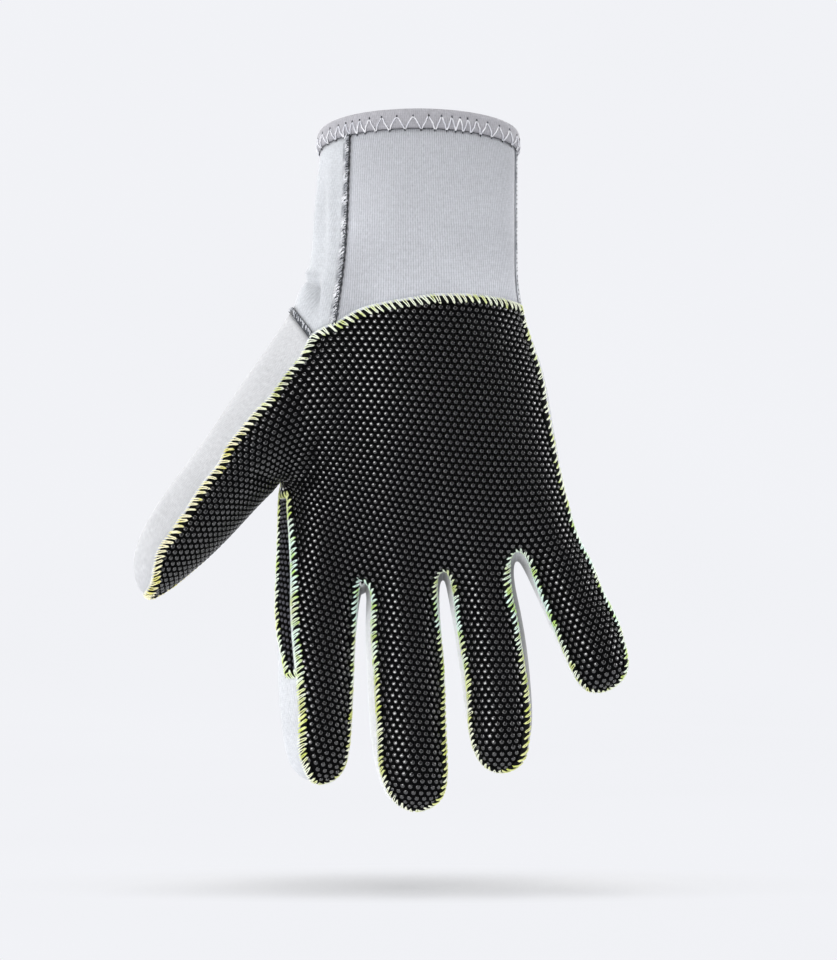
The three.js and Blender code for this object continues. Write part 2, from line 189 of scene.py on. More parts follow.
def hand_point(r, c, root_x):
    """The control point of a section in one column, which runs down to the given x at a finger's root."""
    x, y, z, half_width, front_depth, back_depth, lean, thumb_corner, right_seam = SECTIONS[r]
    on_palm = c <= RIGHT_SEAM
    if on_palm:
        degrees = thumb_corner + (right_seam - thumb_corner) * PALM_SHARES[c]
    else:
        degrees = BACK_ANGLES[c - RIGHT_SEAM - 1]
    angle = math.radians(degrees)
    depth = front_depth if math.cos(angle) > 0 else back_depth
    p = np.array([x + math.sin(angle) * half_width, y - math.cos(angle) * depth, z])
    if r > WRIST_ROW:
        p[0] += (root_x - p[0]) * ((r - WRIST_ROW) / (len(SECTIONS) - WRIST_ROW)) ** 2
    p[2] += math.tan(math.radians(lean)) * (y - p[1])
    if r == WRIST_ROW and on_palm:
        p[2] = PALM_TOP["z"] - PALM_TOP["fall"] * (p[0] - PALM_TOP["x"]) ** 2
    ball = THUMB_BALL[r - WRIST_ROW] if r >= WRIST_ROW else ()
    if c < len(ball):
        p[1] -= ball[c]
    return p


def hand_cage():
    """The whole control cage: points, four-sided faces and the panel of each."""
    points, quads, labels = [], [], []

    def add_point(p):
        points.append(np.array(p, float))
        return len(points) - 1

    def add_face(panel, *corners):
        quads.append(corners)
        labels.append(PANELS.index(panel))

    digits = {n: digit_rings(rows, GUSSET_WIDTHS if n == "index" else None) for n, rows in DIGITS.items()}
    neighbours = list(zip(FINGERS, FINGERS[1:]))
    for left, right in neighbours:
        digits[left][0][0][SEAM_RIGHT][2] += CROTCH_RISES[left]
        digits[right][0][0][SEAM_LEFT][2] += CROTCH_RISES[left]

    rows = []
    for r in range(len(SECTIONS)):
        columns = [(c, digits[finger][0][0][k][0]) for c, (finger, k) in enumerate(COLUMNS)]
        rows.append([None if r == THENAR_ROW and c >= LEFT_SIDE else add_point(hand_point(r, c, root_x))
                     for c, root_x in columns])
    base = {f: [add_point(p) for p in digits[f][0][0]] for f in FINGERS}
    rows.append([base[finger][k] for finger, k in COLUMNS])

    for r, (upper, lower) in enumerate(zip(rows, rows[1:])):
        for c in range(len(COLUMNS)):
            if r in (WRIST_ROW, THENAR_ROW) and c >= THUMB_BACK:
                continue
            n = (c + 1) % len(COLUMNS)
            add_face(hand_panel(r, c), upper[c], lower[c], lower[n], upper[n])
    for left, right in [(base[a], base[b]) for a, b in neighbours]:
        add_face("palm_panel", left[FRONT_RIGHT], left[SEAM_RIGHT], right[SEAM_LEFT], right[FRONT_LEFT])
        add_face("back_panel", left[SEAM_RIGHT], left[SIDE_RIGHT], right[SIDE_LEFT], right[SEAM_LEFT])
        add_face("back_panel", left[SIDE_RIGHT], left[BACK_RIGHT], right[BACK_LEFT], right[SIDE_LEFT])

    wrist, thenar, knuckle = rows[WRIST_ROW], rows[THENAR_ROW], rows[KNUCKLE_ROW]
    base["thumb"] = [
        wrist[THUMB_FRONT], thenar[THUMB_FRONT], knuckle[THUMB_FRONT], knuckle[LEFT_SEAM],
        knuckle[LEFT_SIDE], knuckle[THUMB_BACK], thenar[THUMB_BACK], wrist[THUMB_BACK],
        wrist[LEFT_SIDE], wrist[LEFT_SEAM],
    ]
    for name, (rings, tip) in digits.items():
        outer = rings if name == "thumb" else rings[1:]
        rings = [base[name]] + [[add_point(p) for p in ring] for ring in outer]
        for r, (upper, lower) in enumerate(zip(rings, rings[1:])):
            for k in range(RING):
                n = (k + 1) % RING
                add_face(digit_panel(name, k, r), upper[k], lower[k], lower[n], upper[n])
        tip_point, last = add_point(tip), rings[-1]
        for k in range(0, RING, 2):
            add_face(digit_panel(name, k, RING), last[k], tip_point, last[(k + 2) % RING], last[k + 1])
    return np.array(points), np.array(quads), np.array(labels)


def summed(index, values, count):
    """Sums of the rows of values that share an index."""
    out = np.zeros((count, values.shape[1]))
    np.add.at(out, index, values)
    return out


def edges_of(quads):
    """Edges, the edge of each face side, and how many faces use each edge."""
    ends = np.sort(np.stack([quads, np.roll(quads, -1, axis=1)], -1).reshape(-1, 2), axis=1)
    edges, edge_of, uses = np.unique(ends, axis=0, return_inverse=True, return_counts=True)
    return edges, edge_of.reshape(len(quads), 4), uses


def rim_of(points, edges, uses):
    """The points of the rim, the only open edge, and the sum of each one's two neighbours on it."""
    rim = edges[uses == 1]
    on_rim = np.unique(rim)
    return on_rim, summed(rim.ravel(), points[rim[:, ::-1]].reshape(-1, 3), len(points))[on_rim]


def subdivide(points, quads, labels):
    """One Catmull-Clark step; the rim follows its own cubic curve."""
    count = len(points)
    centres = points[quads].mean(axis=1)
    edges, edge_of, uses = edges_of(quads)
    mids = points[edges].mean(axis=1)
    beside = summed(edge_of.ravel(), np.repeat(centres, 4, axis=0), len(edges))
    on_edge = np.where((uses == 2)[:, None], (mids * 2 + beside) / 4, mids)
    n = np.bincount(quads.ravel(), minlength=count)[:, None]
    face_mean = summed(quads.ravel(), np.repeat(centres, 4, axis=0), count) / n
    edge_count = np.bincount(edges.ravel(), minlength=count)[:, None]
    edge_mean = summed(edges.ravel(), np.repeat(mids, 2, axis=0), count) / edge_count
    corners = (face_mean + 2 * edge_mean + (n - 3) * points) / n
    on_rim, neighbours = rim_of(points, edges, uses)
    corners[on_rim] = (6 * points[on_rim] + neighbours) / 8
    first_face, first_edge = count, count + len(quads)
    split = np.stack([
        quads, first_edge + edge_of, np.repeat(first_face + np.arange(len(quads))[:, None], 4, axis=1),
        first_edge + np.roll(edge_of, 1, axis=1)], -1).reshape(-1, 4)
    return np.concatenate([corners, centres, on_edge]), split, np.repeat(labels, 4)


def limit_points(points, quads):
    """Where endless subdivision would bring each point."""
    count = len(points)
    beside = points[np.roll(quads, -1, axis=1)] + points[np.roll(quads, 1, axis=1)]
    across = points[np.roll(quads, 2, axis=1)]
    n = np.bincount(quads.ravel(), minlength=count)[:, None]
    weighted = n * n * points + 2 * summed(quads.ravel(), beside.reshape(-1, 3), count)
    limit = (weighted + summed(quads.ravel(), across.reshape(-1, 3), count)) / (n * (n + 5))
    edges, _, uses = edges_of(quads)
    on_rim, neighbours = rim_of(points, edges, uses)
    limit[on_rim] = (4 * points[on_rim] + neighbours) / 6
    return limit


def unit(v):
    """Vectors at length one."""
    return v / np.maximum(np.linalg.norm(v, axis=-1, keepdims=True), 1e-12)


def normals_of(points, quads):
    """The surface's normal at each point, from the faces round it."""
    a, b, c, d = (points[quads[:, i]] for i in range(4))
    return unit(summed(quads.ravel(), np.repeat(np.cross(c - a, d - b), 4, axis=0), len(points)))


def ramp(value, start, length):
    """A share that grows from 0 to 1 over a length."""
    return np.clip((value - start) / length, 0, 1)


# Small moves that bring seams and finger ends to their places: x, z, reach, dx, dz
# Slides run along the surface on the palm side.
SLIDES = [
    (-42, -81, 9, 3.2, -2.3), (-36, -75, 6, 1.8, -1.6), (-52, -95, 8, 2, -1.6), (-63, -108, 8, 0.9, -0.7),
    (-71, -120, 6, 2.4, -1.9), (-77, -129, 7, 1.7, -1.4), (-82, -137, 5, 2.2, -1.8),
    (-86, -143, 8, 1.4, -1.2), (-94, -161, 8, 2.6, -1.4), (-30, -70, 7, 0.3, -2.4), (6, -60, 6, 0, 0.7),
    (18, -60, 8, 0, 0.8),
    (29, -61, 8, 0, 1), (44, -86, 12, 2, 0), (48, -110, 9, 0.8, 0), (42, -163, 6, -1.5, 0),
    (33, -166, 6, -1.2, 0), (-40, -222, 8, -1.5, 0), (-17, -180, 13, -1.3, 0), (-13.5, -227, 7, -1.4, 0),
    (-5, -241, 5, 0, 2.2), (19, -218, 14, -4, 0), (-20.5, -162, 5, 0, 3.2),
]
# Shifts move the whole surface.
SHIFTS = [
    (46, -86, 13, 0.9, 0), (56, -146, 10, -1, 0), (65, -166, 9, -1.4, 0), (72, -185, 8, -0.6, 0),
    (69, -200, 8, 0, 0.7), (-31, -230, 18, -1.4, 0.3), (35, -227, 9, -1.2, 1), (32, -152, 7, 0, 1.8),
    (9, -160, 5, 0, 1.3), (-20.5, -164, 5, 0, -3.2), (37, -222, 8, -0.8, 0),
]


def moves(p, rows):
    """The blended move at points, from rows of place, reach and move."""
    total, share = np.zeros((len(p), 3)), np.zeros(len(p))
    for x, z, reach, dx, dz in rows:
        weight = np.exp(-((p[:, 0] - x) ** 2 + (p[:, 2] - z) ** 2) / reach ** 2)
        total += weight[:, None] * np.array([dx, 0, dz])
        share += weight
    return total / np.maximum(share, 1)[:, None]


FINENESS = 3
points, quads, labels = hand_cage()
for _ in range(FINENESS):
    points, quads, labels = subdivide(points, quads, labels)
points = limit_points(points, quads)
normals = normals_of(points, quads)
slide = moves(points, SLIDES) * ramp(-normals[:, 1:2], -0.5, 0.4)
slide -= normals * (slide * normals).sum(1)[:, None]
points = points + slide + moves(points, SHIFTS)
normals = normals_of(points, quads)


def panel_quads(name):
    """The faces of one panel."""
    return quads[labels == PANELS.index(name)]


def kd_of(places):
    """A tree that finds the nearest of some places."""
    tree = KDTree(len(places))
    for i, p in enumerate(places):
        tree.insert(p, i)
    tree.balance()
    return tree


def border_of(own):
    """Directed border edges of a set of quads, the set on their left side."""
    big = len(points)
    a, b = own.ravel(), np.roll(own, -1, axis=1).ravel()
    single = ~np.isin(a * big + b, b * big + a)
    return dict(zip(a[single], b[single]))


def chains(following):
    """Orders directed edges into chains of points; a closed chain repeats its first point."""
    following = dict(following)
    found = []
    while following:
        starts = set(following) - set(following.values())
        v = min(starts) if starts else min(following)
        chain = [v]
        while v in following:
            v = following.pop(v)
            chain.append(v)
        found.append(chain)
    return sorted(found, key=len, reverse=True)


def seam(left, right):
    """The seams between two panels as chains of point numbers, with the left panel on their left side."""
    own, other = border_of(panel_quads(left)), border_of(panel_quads(right))
    return chains({a: b for a, b in own.items() if other.get(b) == a})


# Folds over the smooth surface: x, z, x, z of the line seen from the front, then half width and height
FRONT_FOLDS = [
    (-34.5, -12, -34, -50, 1.5, -0.9),
    (-31.8, -20, -31.5, -56, 1.3, 0.6),
    (-29.5, -12, -29.5, -48, 1.5, -0.8),
    (-37, -14, -37.2, -46, 1.3, 0.6),
    (-40.6, -50.6, -36.4, -53.4, 1.5, 1.6),
    (-40.2, -53.4, -36.4, -57, 1.5, -2.2),
    (-36.8, -54.5, -37.6, -66, 1.7, -2.9),
    (-33.4, -51, -34.2, -65, 1.7, 1.2),
    (-42, -57, -40.6, -66, 1.7, 1),
    (-45, -129, -31, -120, 2, -1.8),
    (-44, -133, -30, -133, 2, -1.4),
    (-42, -126, -34, -110, 2, -1.2),
    (-50, -127, -60, -123, 2, -1.4),
]


def fold_height(p, normal):
    """Height of the front folds at points of the surface."""
    total = np.zeros(len(p))
    facing = np.clip(-normal[:, 1] * 2 + 1.2, 0, 1)
    for x0, z0, x1, z1, width, height in FRONT_FOLDS:
        along = np.array([x1 - x0, z1 - z0])
        flat = p[:, [0, 2]] - (x0, z0)
        t = np.clip(flat @ along / (along @ along), 0, 1)
        away = np.linalg.norm(flat - t[:, None] * along, axis=1)
        ends = np.sin(np.pi * np.clip(t, 0.08, 0.92)) ** 0.5
        total += height * np.exp(-(away / width) ** 2) * ends * facing
    return total


smooth_points = points.copy()
points = points + normals * fold_height(points, normals)[:, None]


# Materials
class Nodes:
    """Short calls for the nodes that the materials share."""

    def __init__(self, tree):
        self.tree = tree

    def add(self, kind, inputs=(), **settings):
        """A node whose inputs are numbers, colours or the outputs of other nodes."""
        node = self.tree.nodes.new(kind)
        for key, value in settings.items():
            setattr(node, key, value)
        for key, value in dict(inputs).items():
            if isinstance(value, bpy.types.NodeSocket):
                self.tree.links.new(value, node.inputs[key])
            else:
                node.inputs[key].default_value = value
        return node

    def place(self, scale=(1, 1, 1), shift=(0, 0, 0), uv=None):
        """Metres in the part's frame, or a panel's flat coordinates."""
        if uv:
            source = self.add("ShaderNodeUVMap", uv_map=uv).outputs[0]
        else:
            source = self.add("ShaderNodeTexCoord").outputs["Object"]
        return self.add("ShaderNodeMapping", {
            "Vector": source, "Scale": scale, "Location": shift}).outputs[0]

    def axes(self, vector=None):
        return self.add("ShaderNodeSeparateXYZ", {0: vector or self.place()}).outputs

    def noise(self, scale, detail=3, where=None, roughness=0.5):
        return self.add("ShaderNodeTexNoise", {
            "Vector": where or self.place(), "Scale": scale, "Detail": detail,
            "Roughness": roughness}).outputs["Fac"]

    def openness(self, reach, samples):
        """How free a place is of other surfaces within reach."""
        return self.add("ShaderNodeAmbientOcclusion", {"Distance": reach}, samples=samples).outputs["AO"]

    def math(self, operation, a, b=0.5):
        return self.add("ShaderNodeMath", {0: a, 1: b}, operation=operation).outputs[0]

    def product(self, first, *others):
        for other in others:
            first = self.math("MULTIPLY", first, other)
        return first

    def wave(self, value, pitch):
        return self.math("SINE", self.math("MULTIPLY", value, 2 * math.pi / pitch))

    def fit(self, value, low, high, to_low=0, to_high=1):
        return self.add("ShaderNodeMapRange", {
            "Value": value, "From Min": low, "From Max": high,
            "To Min": to_low, "To Max": to_high}).outputs[0]

    def blend(self, share, a, b, mode="MIX"):
        inputs = {0: share, 6: a, 7: b}
        return self.add("ShaderNodeMix", inputs, data_type="RGBA", blend_type=mode).outputs[2]

    def bump(self, height, distance, strength):
        return self.add("ShaderNodeBump", {
            "Height": height, "Distance": distance, "Strength": strength}).outputs[0]


def colour(text):
    """Linear colour of a hex sRGB value."""
    parts = [int(text[i:i + 2], 16) / 255 for i in (0, 2, 4)]
    return tuple(((c + 0.055) / 1.055) ** 2.4 if c > 0.04045 else c / 12.92 for c in parts) + (1,)


def material(name, build):
    """A node material; build gives the shader's inputs."""
    made = bpy.data.materials.new(name)
    made.use_nodes = True
    made.node_tree.nodes.clear()
    n = Nodes(made.node_tree)
    shader = n.add("ShaderNodeBsdfPrincipled", build(n))
    n.add("ShaderNodeOutputMaterial", {0: shader.outputs[0]})
    return made


def painted_finger_light_and_shade(n, tone, pale):
    """The cloth's tone with paler fingers, painted light on their faces that turn to the front and sides, and
    painted shade in folds, webs and on the ring finger's side.
    """
    x, _, z = n.axes()
    right, back, _ = n.axes(n.add("ShaderNodeTexCoord").outputs["Normal"])
    # Painted light: paler tones on the fingers' faces that turn to the front and sides, less on the index
    # finger's left side.
    fingers = n.product(n.fit(z, -0.11, -0.165), n.fit(x, -0.036, -0.03, 0.16, 1), n.fit(back, 0.55, 0.1))
    free = n.openness(0.009, 6)
    # Painted shade in the hollows of folds on the upper back panel.
    folds = n.product(n.fit(free, 0.55, 0.97, 0.3, 0), n.fit(z, -0.1, -0.07))
    # Painted shade on the ring finger's side that turns to the little finger.
    ring_finger = n.product(n.fit(z, -0.15, -0.157), n.fit(x, 0.024, 0.029), n.fit(x, 0.047, 0.044, 0, 0.62))
    side = n.product(ring_finger, n.fit(right, 0.1, 0.5), n.fit(back, 0.5, 0.2))
    # Painted shade at the crotches between the fingers, deepest between index and middle finger.
    at_crotches = n.product(n.fit(z, -0.176, -0.163), n.fit(z, -0.15, -0.156))
    web = n.product(at_crotches, n.fit(free, 0.35, 0.75, 1, 0), n.fit(x, -0.008, 0, 0.85, 0.6))
    painted_shade = n.math("SUBTRACT", 1, n.math("MAXIMUM", side, web))
    return n.blend(fingers, tone, pale), n.product(n.math("SUBTRACT", 1, folds), painted_shade)


def cuff_painted_shade(n):
    """A little darker under the hem and at the lower left corner, painted shade, and paler along the lower
    edge.
    """
    x, _, z = n.axes()
    # Painted shade beside the seam at the lower left corner.
    corner = n.product(n.fit(x, -0.012, -0.024, 0, 0.22), n.fit(z, -0.036, -0.052))
    lower = n.math("SUBTRACT", n.fit(z, -0.044, -0.056, 1, 1.08), corner)
    # Painted shade just under the hem.
    return n.product(n.fit(z, -0.032, -0.01, 1, 0.9), lower)


RIB_PITCH, LOOP_PITCH = 0.85, 0.62


def knit(dark, light, pale=None, relief=1.0, cuff=False):
    """Fine vertical knit: ribs with darker furrows, uneven and with a nap; pale is two paler tones, painted
    light on the fingers.
    """
    half = 0.31 * relief

    def build(n):
        flat = n.place(uv="Cloth")
        across, down, _ = n.axes(flat)
        across = n.math("ADD", across, n.product(n.noise(0.35, 2, flat), 0.5))
        fine = n.math("ADD", n.fit(n.wave(across, RIB_PITCH), -1, 1, 0.31 - half, 0.31 + half),
                      n.fit(n.wave(down, LOOP_PITCH), -1, 1, 0, 0.12))
        grain = n.noise(1.6, 3, n.place((1.6, 0.5, 1), uv="Cloth"), 0.6)
        fine = n.math("ADD", fine, n.fit(grain, 0.3, 0.7, 0, 0.4))
        ribs = n.fit(fine, 0.1, 0.9)
        tone = n.blend(ribs, colour(dark), colour(light))
        blotches, nap = n.noise(0.045, 3, flat), n.noise(0.55, 3, flat, 0.65)
        shade = n.product(n.fit(blotches, 0.35, 0.65, 0.96, 1.03), n.fit(nap, 0.3, 0.7, 0.925, 1.065))
        # Painted light on the fingers and painted shade in folds, at the crotches and on the ring finger's
        # side.
        if pale:
            tone, painted_shade = painted_finger_light_and_shade(n, tone, n.blend(ribs, *map(colour, pale)))
            shade = n.product(shade, painted_shade)
        # Painted shade under the hem and at the cuff's lower left corner.
        if cuff:
            shade = n.product(shade, cuff_painted_shade(n))
        return {"Base Color": n.blend(1.0, tone, shade, "MULTIPLY"), "Normal": n.bump(fine, 0.00016, 0.7),
                "Roughness": n.fit(fine, 0, 1, 0.92, 0.74), "Sheen Weight": 0.25, "Sheen Roughness": 0.45,
                "Specular IOR Level": 0.3}
    return build


def black_knit(n):
    """The close black knit between the dots."""
    across, down, _ = n.axes(n.place(uv="Cloth"))
    fine = n.math("ADD", n.fit(n.wave(across, 0.6), -1, 1, 0, 0.5), n.fit(n.wave(down, 0.6), -1, 1, 0, 0.5))
    return {"Base Color": n.blend(fine, colour("020203"), colour("070708")),
            "Normal": n.bump(fine, 0.00015, 0.8),
            "Roughness": n.fit(fine, 0, 1, 0.9, 0.75), "Specular IOR Level": 0.06}


def specked(low, high, roughness, grain, more):
    """Two close tones in fine specks; roughness is one number or a noise's scale and range, grain a bump."""
    def build(n):
        rough = roughness
        if isinstance(rough, tuple):
            rough = n.fit(n.noise(rough[0], 3), 0.3, 0.7, *rough[1:])
        return {"Base Color": n.blend(n.noise(900, 2), colour(low), colour(high)), "Roughness": rough,
                "Normal": n.bump(n.noise(grain[0], 2), *grain[1:]), **more}
    return build


def twisted(n, sheen):
    """The fine strands of thread."""
    strands = n.noise(2600, 2)
    return {"Normal": n.bump(strands, 0.00012, 0.8), "Roughness": n.fit(strands, 0.3, 0.7, 0.45, 0.7),
            "Sheen Weight": sheen}


def thread(low, high, sheen=0.2):
    """Twisted thread of two tones in patches."""
    def build(n):
        patches = n.fit(n.noise(260, 2), 0.38, 0.62)
        return {"Base Color": n.blend(patches, colour(low), colour(high)), **twisted(n, sheen)}
    return build


def neon(low, high):
    """Fluorescent thread of two tones, cream on the thumb and mint green between the fingers, with a faint
    painted glow of its own.
    """
    def build(n):
        patches = n.fit(n.noise(230, 2), 0.36, 0.5)
        plain, cream, cool = [n.blend(patches, colour(a), colour(b)) for a, b in (
            (low, high), ("e4de84", "faf5cf"), ("c6ec80", "e8fff4"))]
        x, _, z = n.axes()
        between = n.product(n.fit(z, -0.13, -0.15, 0.15, 1), n.fit(z, -0.175, -0.205, 1, 0))
        mint = n.product(between, n.fit(n.noise(60, 2), 0.4, 0.55, 0.25, 1), n.fit(x, -0.055, -0.045))
        tone = n.blend(mint, n.blend(n.fit(x, -0.055, -0.065), plain, cream), cool)
        # Painted glow: the thread's tone glows a little by itself.
        return {"Base Color": tone, "Emission Color": tone, "Emission Strength": 0.09, **twisted(n, 0.2)}
    return build


# The cuff's knit carries painted shade under its hem and at its lower left corner.
CUFF_GREY = material("ribbed grey knit", knit("a9abb2", "d3d5db", relief=0.75, cuff=True))
# The back panel's knit: its paler pair of tones is painted light on the fingers, and it carries painted shade
# in folds, at the crotches and on the ring finger's side.
GREY = material("grey knit", knit("afb2b8", "dadde1", ("e0e2e6", "fdfdfe"), 0.3))
PALE_GREY = material("pale grey knit", knit("abacb0", "d8d9db", relief=0.15))
HEM_GREY = material("hem knit", knit("919096", "c0bfc5", relief=0.3))
EDGE_GREY = material("grey cloth edge", thread("b9bcc2", "dcdfe4", 0.1))
BLACK = material("black knit", black_knit)
EDGE_BLACK = material("black cloth edge", specked(
    "030405", "0b0d0e", 0.7, (2600, 0.00012, 0.8), {"Specular IOR Level": 0.12}))
DOTS = material("rubber dots", specked(
    "09090b", "131316", (260, 0.15, 0.23), (5200, 0.00003, 0.4), {"Specular IOR Level": 1.0, "IOR": 1.6}))
# The gusset's dots: a lighter grey-black, rougher and less shiny than the palm's.
GREYER_DOTS = material("greyer black rubber", specked(
    "38383e", "58585f", (700, 0.42, 0.6), (2600, 0.00006, 0.6), {"Specular IOR Level": 0.35}))
# Lit and shaded copies of the one neon thread: the paler cream copy is painted light, the deeper yellow-green
# copy painted shade.
LIT_NEON = material("lit neon thread", neon("d8de92", "f1f4dc"))
SHADED_NEON = material("shaded neon thread", neon("cfdb62", "e6ea9f"))
DARK = material("dark thread", thread("1d2025", "464a52"))
SILVER = material("silver thread", thread("a4a7ae", "f4f5f9"))
STONE = material("stone thread", thread("8b8f97", "dcdee3"))
WHITE = material("white thread", thread("d9dae2", "f3f3f7"))


# Pieces
def placed(name, data):
    """A new object in the scene."""
    made = bpy.data.objects.new(name, data)
    bpy.context.scene.collection.objects.link(made)
    return made


def mesh_of(name, verts, faces):
    """A smooth mesh."""
    mesh = bpy.data.meshes.new(name)
    mesh.from_pydata(np.asarray(verts).tolist(), [], faces)
    mesh.polygons.foreach_set("use_smooth", [True] * len(faces))
    mesh.update()
    return mesh


def make(name, verts, faces, mat, node=None):
    """A mesh piece from millimetre points, riding on the part."""
    mesh = mesh_of(name, np.asarray(verts) * MM, [list(map(int, f)) for f in faces])
    mesh.materials.append(mat)
    piece = placed(name, mesh)
    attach(piece, "root")
    if node:
        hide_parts(node)
    return piece


# Flat patterns are turned upright by the part of the cloth that lies this near to the glove's middle.
HAND_HALF_WIDTH = 45


def flatten(used, own):
    """One panel's cloth laid flat with the least stretch: its size and area in millimetres."""
    local = np.searchsorted(used, own)
    p = smooth_points[used]
    mesh = mesh_of("flat", p, local.tolist())
    temp = placed("flat", mesh)
    bpy.context.view_layer.objects.active = temp
    temp.select_set(True)
    mesh.uv_layers.new(name="Cloth")
    bpy.ops.object.mode_set(mode="EDIT")
    bpy.ops.mesh.select_all(action="SELECT")
    bpy.ops.uv.unwrap(method="MINIMUM_STRETCH", margin=0.0, correct_aspect=False)
    bpy.ops.object.mode_set(mode="OBJECT")
    per_loop = np.zeros(len(mesh.loops) * 2)
    mesh.uv_layers[0].data.foreach_get("uv", per_loop)
    uv = np.zeros((len(used), 2))
    uv[local.ravel()] = per_loop.reshape(-1, 2)
    bpy.data.objects.remove(temp)
    bpy.data.meshes.remove(mesh)

    def diagonals(at):
        return at[local[:, 2]] - at[local[:, 0]], at[local[:, 3]] - at[local[:, 1]]

    area = np.linalg.norm(np.cross(*diagonals(p)), axis=1).sum()
    d1, d2 = diagonals(uv)
    uv *= math.sqrt(area / abs((d1[:, 0] * d2[:, 1] - d1[:, 1] * d2[:, 0]).sum()))
    weight = normals[used, 1] ** 2 * (np.abs(p[:, 0]) < HAND_HALF_WIDTH)
    flat = upright(used, uv, weight)
    return flat.max(0) - flat.min(0), area / 2


def upright(used, uv, weight):
    """Turns flat coordinates so that they lie over x and z where the weight says."""
    facing = np.sign((normals[used, 1] * weight).sum())
    target = smooth_points[used][:, [0, 2]] * (-facing, 1)
    w = weight[:, None] / weight.sum()
    a, b = uv - (uv * w).sum(0), target - (target * w).sum(0)
    cross = ((a[:, 0] * b[:, 1] - a[:, 1] * b[:, 0]) * w[:, 0]).sum()
    angle = math.atan2(cross, (a * b * w).sum())
    c, s = math.cos(angle), math.sin(angle)
    return a @ np.array([[c, s], [-s, c]])


# Beside its seams the cloth dips by this depth over this reach.
SEAM_DIP = {"depth": 0.45, "reach": 2.2}
# The hem's band thins beside its seams by this share over this reach.
HEM_EDGE = {"share": 0.75, "reach": 0.8}
# Its knit runs round a circle of this radius.
HEM_RADIUS = 31


def panel_piece(name, mat):
    """The closed cloth wall of one panel, thin at its seams, with flat coordinates for the knit."""
    own = panel_quads(name)
    following = border_of(own)
    previous = {b: a for a, b in following.items()}
    used = np.unique(own)
    border = np.array(sorted(following))
    tree = kd_of(smooth_points[border])
    near = np.array([tree.find(p)[2] for p in smooth_points[used]])
    is_hem = name == "hem_band"
    if is_hem:
        height = HEM_PROUD * (1 - HEM_EDGE["share"] * np.exp(-(near / HEM_EDGE["reach"]) ** 2))
    else:
        height = -SEAM_DIP["depth"] * np.exp(-(near / SEAM_DIP["reach"]) ** 2)
    shift = np.zeros((len(used), 3))
    row = {v: i for i, v in enumerate(used)}
    for v in border:
        inward = np.cross(normals[v], smooth_points[following[v]] - smooth_points[previous[v]])
        shift[row[v]] = inward / np.linalg.norm(inward) * SEAM_GAP / 2
    outer = points[used] + shift + normals[used] * height[:, None]
    inner = points[used] + shift - normals[used] * WALL
    count = len(used)
    local = np.searchsorted(used, own)
    faces = [*local.tolist(), *(local[:, ::-1] + count).tolist()]
    for a, b in following.items():
        i, j = row[a], row[b]
        faces.append((j, i, i + count, j + count))
    piece = make(name + "_cloth", np.concatenate([outer, inner]), faces, mat, name)
    if is_hem:
        weave = np.stack([np.arctan2(outer[:, 0], -outer[:, 1]) * HEM_RADIUS, outer[:, 2]], 1)
    else:
        weave = lattice(used, own, KNIT_TILTS, 0, 0)
    layer = piece.data.uv_layers.new(name="Cloth")
    loops = np.zeros(len(piece.data.loops), int)
    piece.data.loops.foreach_get("vertex_index", loops)
    layer.data.foreach_set("uv", np.concatenate([weave, weave])[loops].ravel())
    return piece, None if is_hem else flatten(used, own)


def frames(chain, closed, step, offset=0.0):
    """Even places along a seam: point, normal, forward and inward directions, and the distance run."""
    ids = chain[:-1] if closed else chain
    p, n = points[ids], normals[ids]
    if closed:
        p, n = np.concatenate([p, p[:1]]), np.concatenate([n, n[:1]])
    run = np.concatenate([[0], np.cumsum(np.linalg.norm(np.diff(p, axis=0), axis=1))])
    count = max(int(round(run[-1] / step)), 2)
    s = np.linspace(0, run[-1], count + 1)[:count if closed else None]
    pos, nor = [np.stack([np.interp(s, run, v[:, i]) for i in range(3)], 1) for v in (p, n)]
    nor = unit(nor)
    if closed:
        ahead, behind = np.roll(pos, -1, 0), np.roll(pos, 1, 0)
    else:
        ahead, behind = np.vstack([pos[1:], pos[-1:]]), np.vstack([pos[:1], pos[:-1]])
    forward = unit(ahead - behind)
    inward = unit(np.cross(nor, forward))
    return pos + inward * offset, nor, forward, inward, s


def swept(rings, closed=False):
    """Points and faces of a tube or loop from rings of points: rows, ring size, 3."""
    rows, size = rings.shape[:2]
    faces = []
    for i in range(rows if closed else rows - 1):
        j = (i + 1) % rows
        for k in range(size):
            m = (k + 1) % size
            faces.append((i * size + k, j * size + k, j * size + m, i * size + m))
    if not closed:
        faces += [tuple(range(size - 1, -1, -1)), tuple(range((rows - 1) * size, rows * size))]
    return rings.reshape(-1, 3), faces


def circle(sides):
    """Cosines and sines of even angles."""
    angles = np.linspace(0, 2 * math.pi, sides, endpoint=False)
    return np.cos(angles), np.sin(angles)


THREAD_SIDES = 6


def round_rings(path, side, up, radii):
    """Rings round a path, from its side and up directions."""
    cos, sin = circle(THREAD_SIDES)
    return path[:, None] + (side[:, None] * cos[:, None] + up[:, None] * sin[:, None]) * radii[:, None, None]


def tube(path, radii, up, flat=0.75):
    """A closed tube along a short path, flattened along the up directions."""
    forward = unit(np.gradient(path, axis=0))
    side = unit(np.cross(forward, up))
    return swept(round_rings(path, side, unit(np.cross(side, forward)) * flat, radii))


# The web of the thumb, in x and z
WEB = np.array([-48.6, -128.5])
# How far the threads are rolled outward on the right-hand edges, and the share by which the black edge grows
ROLL, ROLLED_EDGE = 2.1, 0.85
# Cords and stitches get thinner and smaller towards the web: by what share, and over what distance.
WEB_CORD, WEB_STITCH = (0.7, 5), (0.5, 4)


def web_distance(p):
    """How far points are from the web, as seen from the front."""
    return np.linalg.norm(p[..., [0, 2]] - WEB, axis=-1)


def near_web(p, share, reach):
    """The factor by which something shrinks at points near the web."""
    return 1 - share * np.exp(-(web_distance(p) / reach) ** 2)


